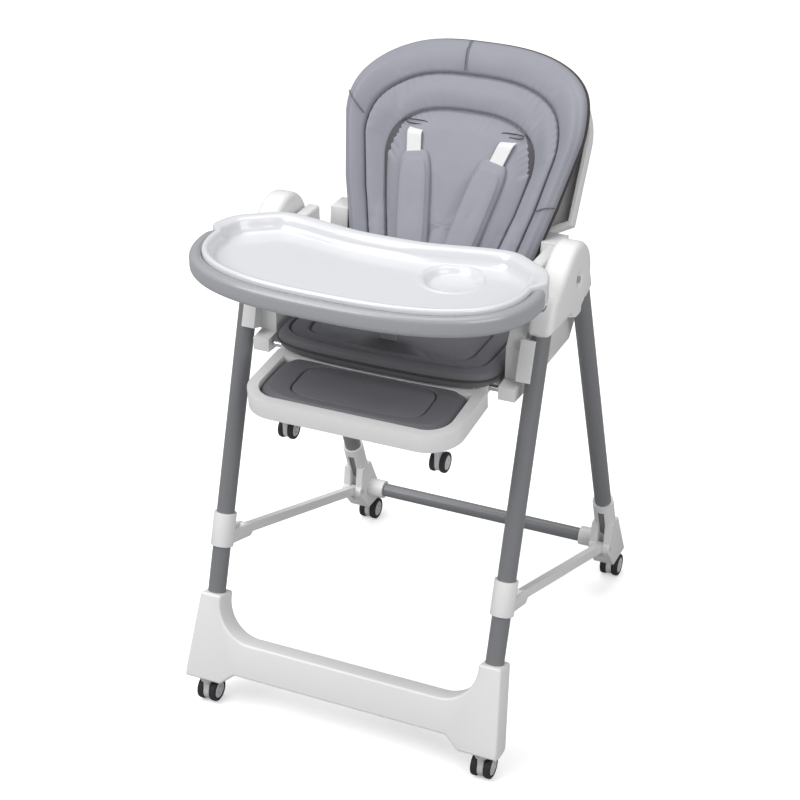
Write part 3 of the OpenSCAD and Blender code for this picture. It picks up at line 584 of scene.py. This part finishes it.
# ---- harness ---------------------------------------------------------------
# Two shoulder straps of white webbing leave slots in the cushion and run into padded sleeves.
# Sewn webbing; the sleeves are the pad cloth over thin foam, and hang inward.
for side, sign, lean, high_x in (("left", -1, -10, -0.074), ("right", 1, 11.5, 0.068)):
    a = math.radians(lean)
    down = np.array([-math.sin(a), -math.cos(a)])
    across = np.array([math.cos(a), -math.sin(a)])
    top = np.array([high_x, 0.243])

    def sleeve_outline(t):
        """Sleeve's outline: a square-ended superellipse, turned by the sleeve's lean about its top."""
        x, y = rounded(t, 0.0285, 0.095, 5.0)
        p = top[:, None] + down[:, None] * (y + 0.095) + across[:, None] * x
        return p[0], p[1]

    middle = top + down * 0.095
    pts, _ = quilt(sleeve_outline, middle, 0.014, [], 0.0, 0.006, 0.20, 150)
    pts[..., 2] += 0.0545
    place("harness_sleeve_" + side, surface(on_back(pts)), PAD, "backrest", "pad_fabric",
          ["harness_pad_" + side], 0.5)
    run = np.linspace(0, 1, 16)
    path = np.stack([sign * 0.085 + (high_x - sign * 0.085) * run, 0.288 - 0.058 * run,
                     0.046 + 0.018 * ease(run * 3)], -1)
    strap = ribbon(on_back(path), np.array([0.025, 0, 0]), 0.0022)
    place("harness_web_" + side, surface(strap), WEB_WHITE, "backrest", "white_webbing", ["harness_strap_" + side])
    slit = np.stack([*rounded(np.linspace(0, 2 * np.pi, 60, endpoint=False), 0.019, 0.0035, 3.0)], -1)
    ring = np.concatenate([slit + [sign * 0.085, 0.290], np.full((60, 1), 0.0548)], 1)
    place("harness_slot_" + side, surface(tube(on_back(ring), 0.0009, 8), True, True), PIPING, "backrest",
          "dark_webbing")

# ---- footrest --------------------------------------------------------------
# A thick rounded white rim on two hinge knuckles, with a quilted cushion inside it.
# Moulded plastic; the cushion is foam in the pad cloth, darkened as painted shade from the tray above.
low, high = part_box("footrest_rod")
KNEE = np.array([0, (low.y + high.y) / 2, (low.z + high.z) / 2])
FOOT_SLOPE = math.radians(5)


def on_footrest(points):
    """Points (across, forward as negative, up) turned into the frame by the footrest's slope."""
    c, s = math.cos(FOOT_SLOPE), math.sin(FOOT_SLOPE)
    return KNEE + np.stack([points[..., 0], points[..., 1] * c - points[..., 2] * s,
                            points[..., 1] * s + points[..., 2] * c], -1)


def footrest_height(p):
    """Height of a point above the footrest's hinge, square to the footrest."""
    return -(p.y - KNEE[1]) * math.sin(FOOT_SLOPE) + (p.z - KNEE[2]) * math.cos(FOOT_SLOPE)


rim = soften("footrest_frame", 0.0065, lambda a, b: all(
    min(abs(footrest_height(p)), abs(footrest_height(p) + 0.030)) < 4e-4 for p in (a, b)), 4)
place("footrest", rim, WHITE, "footrest", "white_shell", ["footrest_frame"])


def foot_pad_outline(t):
    """Footrest cushion's outline: a superellipse nearly filling the rim."""
    x, y = rounded(t, 0.1615, 0.067, 4.6)
    return x, y - 0.079


pts, _ = quilt(foot_pad_outline, (0, -0.079), 0.022, [0.70], 0.005, 0.003, 0.08, 240)
pts[..., 2] -= 0.025
place("footrest_pad", surface(on_footrest(pts)), PAD_PAINTED_SHADE, "footrest", "pad_fabric", ["footrest_cushion"], 0.6)

# ---- tray ------------------------------------------------------------------
# A grey rim with a curved front holds a glossy white insert with a cup recess.
# Both are mouldings; the insert's rear corners cover the rim.
low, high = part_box("tray_base")
TRAY_HALF, TRAY_LOW, TRAY_TOP = high.x, low.z, high.z
TRAY_MID, TRAY_FRONT = -0.196, low.y


def tray_line(count=420):
    """Tray's outline: a superellipse in front, then points listed round the rear, spaced evenly and
    smoothed by averaging each point with its neighbours."""
    t = np.linspace(np.pi, 2 * np.pi, 160)
    x, y = rounded(t, TRAY_HALF, TRAY_MID - TRAY_FRONT, 2.6)
    right = [(272, -139), (252, -119), (227, -113), (216, -94), (198, -84), (144, -92), (84, -106), (50, -112)]
    rear = [(a / 1000, b / 1000) for a, b in right] + [(-a / 1000, b / 1000) for a, b in right[::-1]]
    line = np.concatenate([np.stack([x, y + TRAY_MID], -1), rear])
    far = np.concatenate([[0], np.cumsum(np.linalg.norm(np.diff(np.vstack([line, line[:1]]), axis=0), axis=1))])
    want = np.linspace(0, far[-1], count, endpoint=False)
    closed = np.vstack([line, line[:1]])
    even = np.stack([np.interp(want, far, closed[:, k]) for k in (0, 1)], -1)
    for _ in range(70):
        even = (np.roll(even, 1, 0) + 2 * even + np.roll(even, -1, 0)) / 4
    return even


def inset(line, by):
    """A closed line moved inward by a distance at each point, along its own normal."""
    along = np.roll(line, -1, 0) - np.roll(line, 1, 0)
    normal = np.stack([-along[:, 1], along[:, 0]], -1)
    normal /= np.linalg.norm(normal, axis=1)[:, None]
    return line + normal * np.broadcast_to(by, (len(line),))[:, None]


line = tray_line()
rear = ease((line[:, 1] + 0.204) / 0.030)


def stack(steps):
    """Surface through closed lines, each the tray's outline moved inward by its own distance and lifted to its height."""
    rows = []
    for by, z in steps:
        flat = inset(line, by)
        rows.append(np.concatenate([flat, np.broadcast_to(z, (len(line),))[:, None]], 1))
    return np.stack(rows, 1)


bend = np.linspace(0, np.pi / 2, 7)
CROWN = TRAY_TOP - 0.003 * rear
outer = [(0.010 * (1 - math.sin(b)) + 0.004 * rear, TRAY_LOW + 0.010 * (1 - math.cos(b))) for b in bend]
crown = [(0.009 * (1 - math.cos(b)) + 0.004 * rear, CROWN - 0.009 * (1 - math.sin(b))) for b in bend]
inner = [(0.0175 - 0.004 * rear, CROWN - 0.001), (0.019 - 0.004 * rear, CROWN - 0.004),
         (0.019 - 0.004 * rear, TRAY_LOW + 0.004)]
under = [(0.12, TRAY_LOW), (0.06, TRAY_LOW), (0.03, TRAY_LOW)]
place("tray_rim", surface(stack(under + outer + crown + inner + [(0.06, TRAY_LOW + 0.004), (0.12, TRAY_LOW + 0.004)])),
      TRAY_GREY, "tray", "tray_grey", ["tray_base"])

cover = 0.0194 * (1 - rear) + 0.0005 * rear
lip = TRAY_TOP + 0.006
steps = [(cover + 0.001, TRAY_LOW + 0.005), (cover, TRAY_LOW + 0.007), (cover, lip - 0.005)]
steps += [(cover + 0.005 * (1 - math.cos(b)), lip - 0.005 * (1 - math.sin(b))) for b in bend[1:]]
ledge = cover + 0.012 * rear
steps += [(ledge + 0.0085, lip - 0.0006), (ledge + 0.0115, lip - 0.004), (ledge + 0.0135, lip - 0.011),
          (ledge + 0.017, TRAY_LOW + 0.0185), (ledge + 0.022, TRAY_LOW + 0.0163)]
walls = stack(steps)
CUP = np.array([0.128, -0.179])
heart = np.array([0, -0.215])
last = walls[:, -1, :2]
rings = []
for k in np.linspace(1, 0.01, 76)[1:]:
    flat = heart + (last - heart) * k
    far = np.linalg.norm(flat - CUP, axis=1)
    z = TRAY_LOW + 0.016 - 0.009 * (1 - ease((far - 0.036) / 0.008)) + 0.0015 * np.exp(-(((far - 0.049) / 0.003) ** 2))
    rings.append(np.concatenate([flat, z[:, None]], 1))
below = stack([(cover + 0.03, TRAY_LOW + 0.005), (cover + 0.015, TRAY_LOW + 0.005)])
place("tray_dish", surface(np.concatenate([below, walls, np.stack(rings, 1)], 1)), TRAY_WHITE,
      "tray_insert", "tray_white", ["tray_insert"])
place("latch", soften("tray_latch", 0.002), CONTROL, "tray_latch", "control_grey", ["tray_latch"])
for side in ("left", "right"):
    place("knob_" + side, soften("tray_knob_" + side, 0.003), WHITE, "tray", "white_shell", ["tray_knob_" + side])


# ---- casters ---------------------------------------------------------------
# Six twin-wheel casters: a stem and hood in light grey plastic between two tyred wheels.
# The wheels are rubber tyres on plastic hubs, turning on one axle.
def turned(profile, at, sides=64):
    """Ring about the axle: each point of a closed profile (along the axle, distance from it) goes round a circle."""
    a = np.linspace(0, 2 * np.pi, sides, endpoint=False)
    x, r = np.array(profile).T
    return np.stack([np.broadcast_to(at[0] + x, (sides, len(x))), at[1] + np.outer(np.cos(a), r),
                     at[2] + np.outer(np.sin(a), r)], -1)


for where in ("front_left", "front_right", "rear_left", "rear_right", "footrest_left", "footrest_right"):
    place("caster_hood_" + where, soften("fork_" + where, 0.0008), HOOD, "caster_" + where, "caster_grey",
          ["fork_" + where])
    low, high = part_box("wheel_" + where)
    at = np.array((low + high) / 2)
    r, half = (high.z - low.z) / 2, (high.x - low.x) / 2
    near = half * 0.33
    tyres, discs = [], []
    for s in (-1, 1):
        tyres.append(turned([(s * x, y) for x, y in (
            (near, r * 0.5), (near, r * 0.88), (near + 0.001, r * 0.97), (near + 0.003, r), (half - 0.003, r),
            (half - 0.001, r * 0.965), (half, r * 0.88), (half, r * 0.74), (half - 0.0015, r * 0.72),
            (half - 0.0015, r * 0.5))], at))
        discs.append(turned([(s * x, y) for x, y in (
            (near + 0.002, r * 0.70), (half - 0.0012, r * 0.70), (half - 0.0003, r * 0.66), (half - 0.0003, r * 0.36),
            (half - 0.002, r * 0.33), (half - 0.002, r * 0.26), (half - 0.0002, r * 0.23), (half, 0.0004),
            (near + 0.002, 0.0004))], at))
    for label, parts, material, slot_name, stands in (("tyres_", tyres, RUBBER, "tyre_rubber", ["wheel_" + where]),
                                                      ("hubs_", discs, HOOD, "caster_grey", [])):
        joined = bmesh.new()
        for part in parts:
            joined.from_mesh(surface(part, True, True))
        mesh = bpy.data.meshes.new(label + where)
        joined.to_mesh(mesh)
        joined.free()
        mesh.set_sharp_from_angle(angle=math.radians(35))
        place(label + where, mesh, material, "wheels_" + where, slot_name, stands)

# ---- brake pedals ----------------------------------------------------------
# A small pedal behind each rear caster, pressed to hold its wheels.
for side in ("left", "right"):
    place("pedal_" + side, soften("brake_pedal_" + side, 0.0006), CONTROL, "brake_" + side, "caster_grey",
          ["brake_pedal_" + side])
